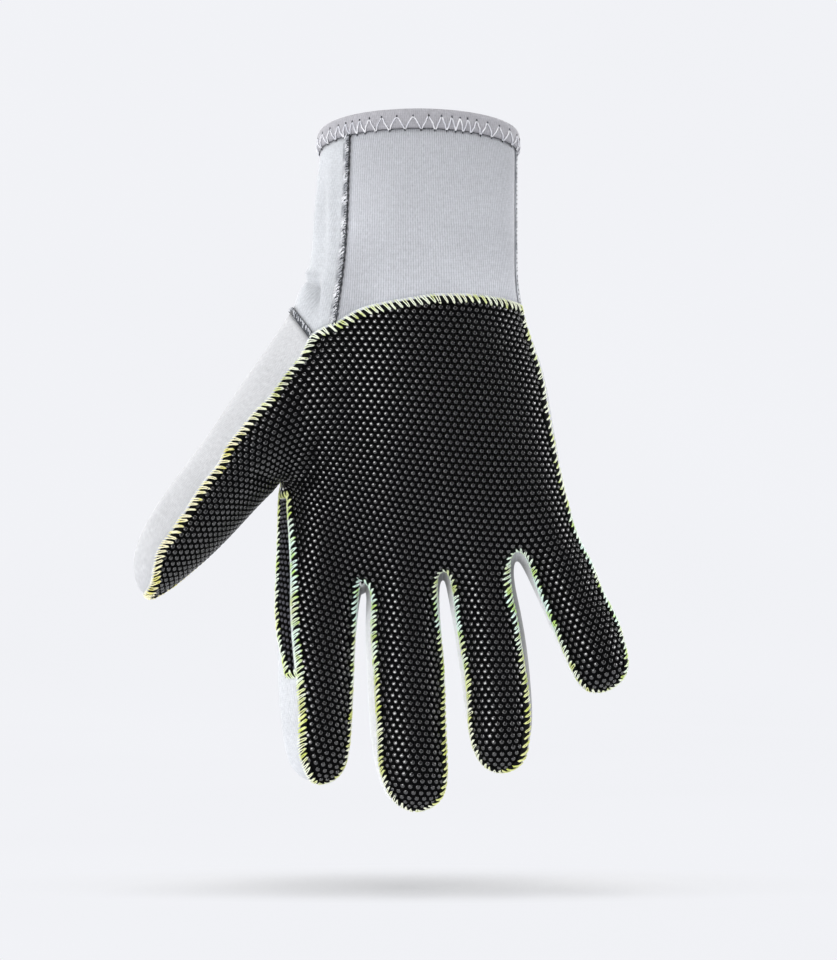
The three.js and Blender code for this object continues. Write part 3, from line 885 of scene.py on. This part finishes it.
def drift(p, inward):
    """How far the palm seam's threads are rolled outward: on right-hand edges and where fingers part."""
    away = ramp(-inward[:, 0], 0.3, 0.4) * ramp(p[:, 0], -60, 10)
    ring_finger = np.clip(1 - np.hypot(p[:, 0] - 36, (p[:, 2] + 185) / 3) / 12, 0, 1)
    away = away * (1 - ring_finger) * (1 - 0.35 * ramp(-p[:, 2], 140, 15))
    parting = ramp(inward[:, 2], 0.3, 0.3) * (abs(p[:, 2] + 158) < 14) * (p[:, 0] > -40)
    away = ROLL * np.maximum(away, 1.1 * parting)
    for _ in range(6):
        away = (np.roll(away, 1) + 2 * away + np.roll(away, -1)) / 4
    return away


CORD_STEP, CORD_SIDES, CORD_SINK = 1.1, 9, 0.7


def rib(chain, closed, half_width, height, offset, rolled=0.0):
    """A raised half-round cord of cloth edge under a seam's stitches; rolled grows it outward with them."""
    pos, nor, _, inward, _ = frames(chain, closed, CORD_STEP, offset)
    wider = drift(pos, inward)[:, None] * rolled
    slim = near_web(pos, *WEB_CORD)[:, None]
    cos, sin = circle(CORD_SIDES)
    across = cos * (half_width * slim + wider) - wider
    up = np.maximum(sin * height, -CORD_SINK) * slim
    return swept(pos[:, None] + inward[:, None] * across[:, :, None] + nor[:, None] * up[:, :, None], closed)


class Heap:
    """Collects many small closed shapes into one mesh."""

    def __init__(self):
        self.verts, self.faces, self.count = [], [], 0

    def add(self, verts, faces):
        self.verts.append(verts)
        self.faces += [tuple(i + self.count for i in f) for f in faces]
        self.count += len(verts)

    def piece(self, name, mat, slot):
        make(name, np.concatenate(self.verts), self.faces, mat)


# Overlocked seams
# Each stitch is a hairpin of thread from the grey side over the seam's cord to the black side, leaning back.
# Across the seam, outer and inner are its ends, the inner one times a factor from the ragged range.
# The width between the start of its two strands comes from the open range.
# The cord under it has a half width, a height and a place across the seam.
STITCH = {"pitch": 2.35, "outer": -1.5, "inner": 1.85, "lean": 2.0, "radius": 0.215, "open": (0.7, 1.25),
          "ragged": (0.8, 1.13), "cord": (1.5, 0.8, 0.2)}
GUSSET_STITCH = {**STITCH, "pitch": 2.1, "outer": -1.35, "inner": 1.6, "lean": 1.8, "radius": 0.21,
                 "cord": (1.35, 0.75, 0.15)}
CUFF_STITCH = {"pitch": 1.05, "outer": 2.1, "inner": -0.55, "lean": -1.5, "radius": 0.15,
               "open": (0.35, 0.8), "ragged": (-1.2, 2.4), "cord": (1.1, 0.5, 0.25)}
SIDE_STITCH = {**CUFF_STITCH, "outer": 0.7, "inner": -0.5, "radius": 0.13, "cord": (0.7, 0.3, 0)}
THUMB_STITCH = {**CUFF_STITCH, "pitch": 1.5, "outer": 1.0, "inner": -0.75, "open": (0.25, 0.6),
                "ragged": (-0.8, 1.6), "cord": (1.05, 0.6, 0.1)}
# A hairpin's points: how far across the seam, and on which strand
HAIRPIN = [(0, 1), (0.3, 1), (0.62, 1), (0.9, 0.9), (1.02, 0), (0.9, -0.9), (0.62, -1), (0.3, -1), (0, -1)]
# The two cloth edges that the stitches hold: half width, height and place across the seam
BLACK_EDGE = (1.3, 0.78, 0.5)
GREY_EDGE = (0.6, 0.5, -1.05)
# How far down the palm's seam the fingers and their ends begin, and over what length
ON_FINGERS, ON_ENDS = (140, 15), (168, 16)
# How much denser the stitches are on the fingers, and how much sparser where rolled, above and at the ends
DENSER, SPARSER, SPARSER_ENDS = 0.22, 0.15, 0.9
# How much longer and narrower a fully rolled stitch is
LONGER, NARROWER = 1.15, 0.85
STITCH_STEP = 0.2
rng = np.random.default_rng(7)


def overlock(pick, chain, style, closed=False):
    """Adds a seam's slanting stitches, each to the heap that pick gives for its place.

    On the palm's closed seam they roll outward, crowd on the fingers and thin out where they are rolled.
    """
    pos, nor, _, inward, s = frames(chain, closed, STITCH_STEP)
    half_width, height, offset = style["cord"]
    lean, outer, radius = style["lean"], style["outer"], style["radius"]
    rolled = drift(pos, inward) * closed
    fingers, ends = [ramp(-pos[:, 2], *where) * closed for where in (ON_FINGERS, ON_ENDS)]
    sparser = np.minimum(rolled / ROLL, 1) * (SPARSER * (1 - fingers) + SPARSER_ENDS * ends)
    turns = np.cumsum(1 + DENSER * fingers - sparser) * s[1] / style["pitch"]
    count = int(round(turns[-1]))

    def step_at(distance):
        i = int(round(distance / s[1]))
        return i % len(pos) if closed else min(max(i, 0), len(pos) - 1)

    for j in range(count):
        start = np.interp((j + 0.5) * turns[-1] / count, turns, s) + lean / 2
        start += rng.uniform(-0.09, 0.09) * style["pitch"]
        reach = style["inner"] * rng.uniform(*style["ragged"])
        wide = rng.uniform(*style["open"])
        slant = lean * rng.uniform(0.8, 1.2)
        middle = step_at(start)
        away = rolled[middle] / ROLL
        reach += LONGER * away
        wide *= max(1 - NARROWER * away, 0.2)
        small = near_web(pos[middle], *WEB_STITCH)
        path, ups = [], []
        for t, side in HAIRPIN:
            i = step_at(start - slant * t + side * (wide * (1 - t) + radius * 2.1 * t) / 2)
            w = (outer + (reach - outer) * t) * small - rolled[i]
            grown = rolled[i] * ROLLED_EDGE
            lift = height * math.sqrt(max(1 - ((w - offset + grown) / (half_width + grown)) ** 2, 0)) * small
            path.append(pos[i] + inward[i] * w + nor[i] * (lift + radius * 0.6))
            ups.append(nor[i])
        thick = np.full(len(path), radius * rng.uniform(0.85, 1.15))
        pick(pos[middle], inward[middle]).add(*tube(np.array(path), thick, np.array(ups), 0.85))


def knots(heap, chain, pitch, offset, radius, length, lift=0.3):
    """Adds short lumps of thread along a seam, such as those where its stitches go in."""
    pos, nor, forward, inward, s = frames(chain, False, STITCH_STEP, offset)
    for middle in np.arange(pitch / 2, s[-1], pitch):
        i = int(round((middle + rng.uniform(-0.15, 0.15) * pitch) / s[1])) % len(pos)
        half = forward[i] * length / 2 + inward[i] * rng.uniform(-0.25, 0.1)
        path = pos[i] + np.array([-half, 0 * half, half]) + nor[i] * (radius * 0.5 + lift)
        heap.add(*tube(path, radius * np.array([0.35, 1.0, 0.5]), nor[[i] * 3]))


def edge_strand(heap, chain, closed, offset, lift, radius):
    """A lengthwise strand that lies along one side of a seam."""
    pos, nor, forward, _, s = frames(chain, closed, 0.8, offset)
    path = pos + nor * (lift + np.sin(s / STITCH["pitch"] * 2 * math.pi)[:, None] * 0.08)
    radii = np.full(len(path), radius)
    if closed:
        heap.add(*swept(round_rings(path, unit(np.cross(forward, nor)), nor, radii), closed))
    else:
        heap.add(*tube(path, radii, nor))


lit_strands, shaded_strands, core, edge, dark, pale, stone, white = [Heap() for _ in range(8)]


def palm_thread(p, inward):
    """The shaded yellow-green copy of the thread, painted shade, mostly on the right-hand edges of the
    fingers and at the web of the thumb; elsewhere the paler lit copy, painted light.
    """
    lower = min(max((-p[2] - 160) / 30, 0), 1)
    chance = 0.03 + 0.15 * lower + (0.7 * lower if inward[0] < -0.35 else 0)
    if math.hypot(p[0] + 48, p[2] + 131) < 9:
        chance = 0.85
    return shaded_strands if rng.uniform() < chance else lit_strands


palm_chain = chains(border_of(panel_quads("palm_panel")))[0]
core.add(*rib(palm_chain, True, *BLACK_EDGE, rolled=ROLLED_EDGE))
edge.add(*rib(palm_chain, True, *GREY_EDGE))
overlock(palm_thread, palm_chain, STITCH, closed=True)
for chain in seam("index_gusset", "back_panel"):
    core.add(*rib(chain, False, 1.2, 0.75, 0.1))
    overlock(palm_thread, chain, GUSSET_STITCH)

# Lumps of thread on the front seam of the cuff: heap, pitch, place across the seam, radius, length, lift
CUFF_KNOTS = [
    (dark, 1.45, -0.65, 0.32, 0.8, 0.3), (dark, 2.9, -0.8, 0.42, 1.3, 0.3), (dark, 1.9, 0.4, 0.34, 0.7, 0.3),
    (pale, 1.1, -0.5, 0.15, 0.7, 0.36), (pale, 0.9, 0, 0.13, 0.6, 0.46), (pale, 1.2, 0.6, 0.14, 0.6, 0.5),
]
# Above this height the seam is covered with more of them.
UPPER_CUFF = -37
for chain in seam("back_panel", "cuff_panel"):
    if points[chain, 0].mean() < 0:
        dark.add(*rib(chain, False, 0.95, 0.45, 0.35))
        overlock(lambda p, inward: pale, chain, CUFF_STITCH)
        for heap, *lump in CUFF_KNOTS:
            knots(heap, chain, *lump)
        for offset in (-0.3, 0.3, 0.8):
            knots(pale, [i for i in chain if points[i, 2] > UPPER_CUFF], 0.9, offset, 0.17, 0.55, 0.52)
    else:
        edge.add(*rib(chain, False, 0.65, 0.3, 0.0))
        overlock(lambda p, inward: pale, chain, SIDE_STITCH)
        knots(dark, chain, 1.7, -0.3, 0.17, 0.8)
for chain in seam("back_panel", "thumb_panel"):
    dark.add(*rib(chain, False, 1.0, 0.65, 0.1))
    overlock(lambda p, inward: stone, chain, THUMB_STITCH)
    edge_strand(dark, chain, False, -0.8, 0.35, 0.28)

# The pitch of the zigzag swings by this share, this many times round the rim.
HEM_STITCH = {"pitch": 4.3, "low": -0.5, "high": 4.0, "radius": 0.27, "swing": 0.055, "swings": 5}


def hem_zigzag(heap, hole_shade_heap, chain):
    """The wide zigzag that holds the hem, with a dark knot at each point where the thread goes in, painted
    shade for the shadow in the needle hole.
    """
    pos, nor, _, inward, s = frames(chain, True, 0.25)
    count = int(round((s[-1] + 0.25) / HEM_STITCH["pitch"]))
    low, high, swings = HEM_STITCH["low"], HEM_STITCH["high"], HEM_STITCH["swings"]

    def step_at(turn):
        swing = HEM_STITCH["swing"] * math.sin(turn / count * 2 * math.pi * swings + 1.5)
        return int(round((turn / count + swing / swings) * len(pos))) % len(pos)

    for j in range(count):
        for half, (w0, w1) in enumerate(((low, high), (high, low))):
            t = np.linspace(0, 1, 6)
            i = [step_at(j + (half + 0.04 + 0.92 * part) / 2) for part in t]
            w = w0 + (w1 - w0) * t
            lift = np.interp(w, [low, 0.2, 0.8, high - 0.5, high], [0.05, 0.5, 1.15, 1.15, 0.9])
            path = pos[i] + inward[i] * w[:, None] + nor[i] * lift[:, None]
            heap.add(*tube(path, np.full(6, HEM_STITCH["radius"] * rng.uniform(0.85, 1.1)), nor[i]))
        # Painted shade: a dark lump at each needle hole, at the top and the bottom of the zigzag.
        for place, w, lift in ((0.5, high + 0.2, 0.95), (0, low - 0.1, 0.1)):
            i = step_at(j + place)
            long = rng.uniform(0.45, 0.8)
            path = np.array([-long, 0, long])[:, None] * inward[i] + pos[i] + inward[i] * w + nor[i] * lift
            hole_shade_heap.add(*tube(path, np.array([0.15, 0.36, 0.15]), nor[[i] * 3]))


hem_seams = chains(border_of(panel_quads("hem_band")))
lower_hem = min(hem_seams, key=lambda chain: points[chain][:, 2].mean())
hem_zigzag(white, dark, lower_hem)
# Painted shade: a thin dark strand along the hem's lower seam, for the shade line under the hem's fold.
edge_strand(dark, lower_hem, True, -0.25, 0.02, 0.11)

# The palm seam's thread in a lit copy, painted light, and a shaded copy, painted shade.
lit_strands.piece("palm_seam_stitches", LIT_NEON, "seam_thread")
shaded_strands.piece("palm_seam_stitches_shaded", SHADED_NEON, "seam_thread")
core.piece("seam_edge_black", EDGE_BLACK, "dark_thread")
edge.piece("seam_edge_grey", EDGE_GREY, "grey_neoprene")
# Dark thread of the cuff and thumb seams, with painted shade at the hem's needle holes and under its fold.
dark.piece("dark_cords_and_painted_shade", DARK, "dark_thread")
pale.piece("cuff_seam_stitches", SILVER, "dark_thread")
stone.piece("thumb_seam_stitches", STONE, "dark_thread")
white.piece("hem_stitches", WHITE, "pale_thread")


# Patterns on the cloth
# The tilt of the dot rows as seen from the front, at places of the palm side: x, z, degrees
ROW_TILTS = [
    (-35, -85, -3), (-20, -80, -5), (10, -80, -5), (35, -80, -6), (-38, -100, 2), (-20, -105, -4),
    (10, -105, -5), (33, -105, -4), (-47, -105, 12), (-56, -114, 30), (-47, -120, 20), (-64, -118, 46),
    (-75, -132, 52), (-88, -148, 54), (-38, -126, -7), (-30, -131, -11), (-30, -148, -14), (-34, -165, -15),
    (-36, -185, -16), (-35, -220, -16), (-12, -131, -8), (5, -135, -8), (-5, -150, -7), (-5, -170, -8),
    (-4, -190, -6), (-3, -230, -5), (22, -135, -5), (31, -140, -4), (39, -122, 0), (40, -136, 5),
    (22, -165, -4), (26, -183, 0), (30, -215, 2), (48, -157, 14), (56, -174, 14), (64, -190, 14),
]
# Rows crowd towards the web of the thumb: how much and over what distance, and how much on the thumb
CROWDING, CROWDING_REACH, THUMB_CROWDING = 0.65, 12, 0.16
# The tilt of the knit on the grey cloth, in the same way
KNIT_TILTS = [(-20, -40, 0), (20, -40, 0), (0, -120, 0), (-35, -200, -3), (0, -200, 0), (28, -200, 4),
              (60, -180, 16), (-42, -80, -8), (-60, -100, -33), (-85, -140, -38)]


def row_frames(p, n, tilts, front):
    """Directions along a pattern's rows and across them, in the surface; front turns it to be seen there."""
    at = np.array(tilts, float)
    weight = 1 / (((p[:, None, [0, 2]] - at[None, :, :2]) ** 2).sum(2) + 4) ** 2
    angle = np.radians(weight @ at[:, 2] / weight.sum(1))
    zero = np.zeros(len(p))
    row = np.stack([np.cos(angle), zero, np.sin(angle)], 1)
    up = np.stack([-np.sin(angle), zero, np.cos(angle)], 1)
    row -= (row * n).sum(1)[:, None] * n
    up -= (up * n).sum(1)[:, None] * n
    along = unit(row * front + np.cross(up, n))
    return along, np.cross(n, along)


def spread(i, j, weight, step, start):
    """Values at points whose differences along edges come nearest to given steps (conjugate gradients)."""
    count, columns = start.shape

    def gather(flow):
        return np.stack([np.bincount(j, flow[:, c], count) - np.bincount(i, flow[:, c], count)
                         for c in range(columns)], 1)

    load = np.bincount(i, weight, count) + np.bincount(j, weight, count)
    value = start.copy()
    rest = gather(weight[:, None] * (step - (value[j] - value[i])))
    lean = rest / load[:, None]
    move, power = lean.copy(), (rest * lean).sum()
    for _ in range(1500):
        pull = gather(weight[:, None] * (move[j] - move[i]))
        share = power / (move * pull).sum()
        value += share * move
        rest -= share * pull
        lean = rest / load[:, None]
        fresh = (rest * lean).sum()
        if fresh < 1e-8:
            break
        move = lean + fresh / power * move
        power = fresh
    return value


def lattice(used, own, tilts, front, share):
    """Pattern coordinates of a panel's points: rows lie along the first, columns along the second."""
    local = np.searchsorted(used, own)
    p, n = smooth_points[used], normals[used]
    along, up = row_frames(p, n, tilts, front)
    i, j = local.ravel(), np.roll(local, -1, axis=1).ravel()
    d, middle = p[j] - p[i], (p[i] + p[j]) / 2
    sides = np.linalg.norm(np.roll(d.reshape(-1, 4, 3), -1, axis=1).reshape(-1, 3), axis=1)
    weight = sides / np.maximum(np.linalg.norm(d, axis=1), 0.05)
    crowd = 1 + share * np.exp(-web_distance(middle) / CROWDING_REACH)
    dense = 1 + share * THUMB_CROWDING * ramp(-middle[:, :1], 50, 14)
    step = np.stack([(d * (along[i] + along[j])).sum(1) / 2, (d * (up[i] + up[j])).sum(1) / 2 * crowd], 1)
    return spread(i, j, weight, step * dense, p[:, [0, 2]])


# The material and the slot of each panel
SLOTS = {"palm_panel": (BLACK, "dotted_rubber"), "index_gusset": (BLACK, "dotted_rubber"),
         "back_panel": (GREY, "grey_neoprene"), "thumb_panel": (PALE_GREY, "grey_neoprene"),
         "cuff_panel": (CUFF_GREY, "grey_neoprene"), "hem_band": (HEM_GREY, "grey_neoprene")}
cloth = {name: panel_piece(name, mat) for name, (mat, slot) in SLOTS.items()}

# Raised rubber dots: pitch is along a row, row is from row to row, thumb is a factor for those on the thumb.
DOT = {"radius": 0.82, "height": 0.38, "pitch": 2.6, "row": 2.08, "sides": 10, "thumb": 1.1}
# The rings of a domed disc, wide and high as shares of its radius and height
DOT_RINGS = [(1.0, -0.12), (0.97, 0.34), (0.88, 0.64), (0.73, 0.87), (0.5, 0.975)]
# The least and the most by which the cloth's stretch draws a disc
DRAWN = (0.5, 1.05)


def dot_faces():
    """The faces of one disc: bands between its rings and a fan round its top point."""
    size = DOT["sides"]
    sides = [(k, (k + 1) % size) for k in range(size)]
    top = (len(DOT_RINGS) - 1) * size
    bands = [(low + k, low + m, low + size + m, low + size + k)
             for low in range(0, top, size) for k, m in sides]
    return bands + [(top + k, top + m, top + size) for k, m in sides]


def lattice_shares(corners):
    """For each point of the staggered lattice inside a triangle, its shares of the three corners."""
    low, high = corners.min(0), corners.max(0)
    (x1, y1), (x2, y2) = corners[1:] - corners[0]
    area = x1 * y2 - y1 * x2
    if abs(area) < 1e-9:
        return
    for row in range(math.ceil(low[1]), math.floor(high[1]) + 1):
        shift = 0.5 * (row % 2)
        for column in range(math.ceil(low[0] - shift), math.floor(high[0] - shift) + 1):
            x, y = np.array([column + shift, row]) - corners[0]
            u, v = (x * y2 - y * x2) / area, (x1 * y - y1 * x) / area
            if u >= 0 and v >= 0 and u + v < 1:
                yield np.array([1 - u - v, u, v])


def dot_axes(ids, flat, n):
    """Directions along and across the rows in a triangle, as long as its stretch draws a disc."""
    p1, p2 = points[ids[1:]] - points[ids[0]]
    (x1, y1), (x2, y2) = flat[1:] - flat[0]
    area = x1 * y2 - y1 * x2
    along, up = (p1 * y2 - p2 * y1) / area, (p2 * x1 - p1 * x2) / area
    long, wide = np.clip(np.linalg.norm([along, up], axis=1), *DRAWN)
    return unit(along) * long, unit(np.cross(n, along)) * wide


dot_heaps = {kind: Heap() for kind in ("palm", "fingers", "thumb", "gusset")}


def dots_on(name, clearance, kind_of, tight=1.0):
    """Places domed discs at the lattice points of a panel; tight draws its columns together."""
    own = panel_quads(name)
    used = np.unique(own)
    flat = lattice(used, own, ROW_TILTS, 1, CROWDING)
    grid = flat / (DOT["pitch"] * tight, DOT["row"])
    tree = kd_of(smooth_points[sorted(border_of(own))])
    faces = dot_faces()
    cos, sin = circle(DOT["sides"])
    for quad in np.searchsorted(used, own):
        for corners in (quad[[0, 1, 2]], quad[[0, 2, 3]]):
            ids = used[corners]
            for share in lattice_shares(grid[corners]):
                if tree.find(share @ smooth_points[ids])[2] < clearance:
                    continue
                p, n = share @ points[ids], unit(share @ normals[ids])
                a, b = dot_axes(ids, flat[corners], n)
                kind = kind_of(p)
                radius = DOT["radius"] * tight * (DOT["thumb"] if kind == "thumb" else 1)
                disc = (np.outer(cos, a) + np.outer(sin, b)) * radius
                up = n * DOT["height"]
                rings = [p + disc * wide + up * high for wide, high in DOT_RINGS]
                dot_heaps[kind].add(np.vstack([*rings, p + up]), faces)


def region(p):
    """The kind of a dot at a place of the palm panel."""
    if p[0] < -48 and p[2] < -95:
        return "thumb"
    return "fingers" if p[2] < -150 else "palm"


dots_on("palm_panel", 1.75, region)
dots_on("index_gusset", 1.2, lambda p: "gusset", 0.8)
for kind, heap in dot_heaps.items():
    heap.piece(kind + "_dots", GREYER_DOTS if kind == "gusset" else DOTS, "dotted_rubber")

# Floor, lights and camera
FLOOR_Z = -0.274
# Near the glove the floor scatters the first share of light and glows with the second; things within
# reach make that glow fainter, a painted shadow.
FLOOR_TAKE, FLOOR_GLOW, FLOOR_REACH = 0.45, 0.34, 0.085


def paper(n):
    """Seamless white: it glows by itself and takes a shadow only near the glove's foot, part real, part
    painted.
    """
    x, y, _ = n.axes(n.place((0.38, 1, 1), (0, -0.008, 0)))
    away = n.math("SQRT", n.math("ADD", n.math("POWER", x, 2), n.math("POWER", y, 2)))
    near = n.add("ShaderNodeMapRange", {"Value": away, "From Max": 0.067, "To Min": 1, "To Max": 0},
                 interpolation_type="SMOOTHSTEP").outputs[0]
    grain = n.fit(n.noise(4, 2), 0.3, 0.7, 0.995, 1.005)
    # Painted shadow: the glow fades where the glove is within reach.
    free = n.math("POWER", n.openness(FLOOR_REACH, 8), n.math("MULTIPLY", near, 2))
    return {"Base Color": n.blend(n.math("MULTIPLY", near, FLOOR_TAKE), (0, 0, 0, 1), (1, 1, 1, 1)),
            "Emission Color": colour("f1f2f6"),
            "Emission Strength": n.product(grain, n.fit(near, 0, 1, 1, FLOOR_GLOW), free),
            "Roughness": 0.9, "Specular IOR Level": 0}


# The floor's profile from front to back, in y and z: flat, then a quarter round up to the backdrop
BEND = [(0.9 + 0.7 * math.sin(a), 0.7 - 0.7 * math.cos(a)) for a in np.linspace(0.1, math.pi / 2, 14)]
PROFILE = [(-0.4, 0), (0.9, 0), *BEND, (1.6, 1.6)]
floor_mesh = mesh_of("floor", [(x, y, FLOOR_Z + z) for y, z in PROFILE for x in (-1.2, 1.2)],
                     [(2 * i, 2 * i + 1, 2 * i + 3, 2 * i + 2) for i in range(len(PROFILE) - 1)])
floor_mesh.materials.append(material("pale paper", paper))
floor = placed("floor", floor_mesh)

MIDDLE = Vector((0, 0, -0.12))
# Soft boxes that face the middle: name, place, size, radiance
LIGHTS = [
    ("left front", (-0.62, -1.16, -0.07), (0.7, 0.5), 8.8),
    ("right side", (1.25, -0.16, 0.12), (0.64, 0.46), 6.8),
    ("left side", (-1.3, -0.05, 0.1), (0.5, 1.0), 4.9),
    ("front top", (0.1, -1.1, 1.0), (0.8, 0.4), 4.6),
    ("top box", (0.03, -0.05, 1.2), (0.4, 0.4), 13.0),
    ("left rim", (-0.8, 0.95, 0.05), (0.6, 1.3), 4.0),
    ("right rim", (0.8, 0.95, 0.05), (0.6, 1.3), 4.0),
]
for name, place, size, radiance in LIGHTS:
    light = bpy.data.lights.new(name, "AREA")
    light.shape = "RECTANGLE"
    light.size, light.size_y = size
    light.energy = radiance * size[0] * size[1] * math.pi
    box = placed(name, light)
    box.location = place
    box.rotation_euler = (MIDDLE - Vector(place)).to_track_quat("-Z", "Y").to_euler()

world = bpy.data.worlds.new("world")
bpy.context.scene.world = world
world.use_nodes = True
background = world.node_tree.nodes["Background"]
background.inputs["Color"].default_value = (0.96, 0.97, 1.0, 1)
background.inputs["Strength"].default_value = 0.1

# In millimetres: the camera's sensor, its distance from the glove and the size of a pixel there
SENSOR, DISTANCE, PIXEL, PIXELS_HIGH = 36, 1300, 0.36, 960
camera_data = bpy.data.cameras.new("camera")
camera_data.lens = SENSOR * DISTANCE / (PIXELS_HIGH * PIXEL)
camera = placed("camera", camera_data)
camera.location = (0, -1.318, -0.1256)
camera.rotation_euler = (math.radians(90), 0, 0)
bpy.context.scene.camera = camera
bpy.context.scene.view_settings.view_transform = "Standard"
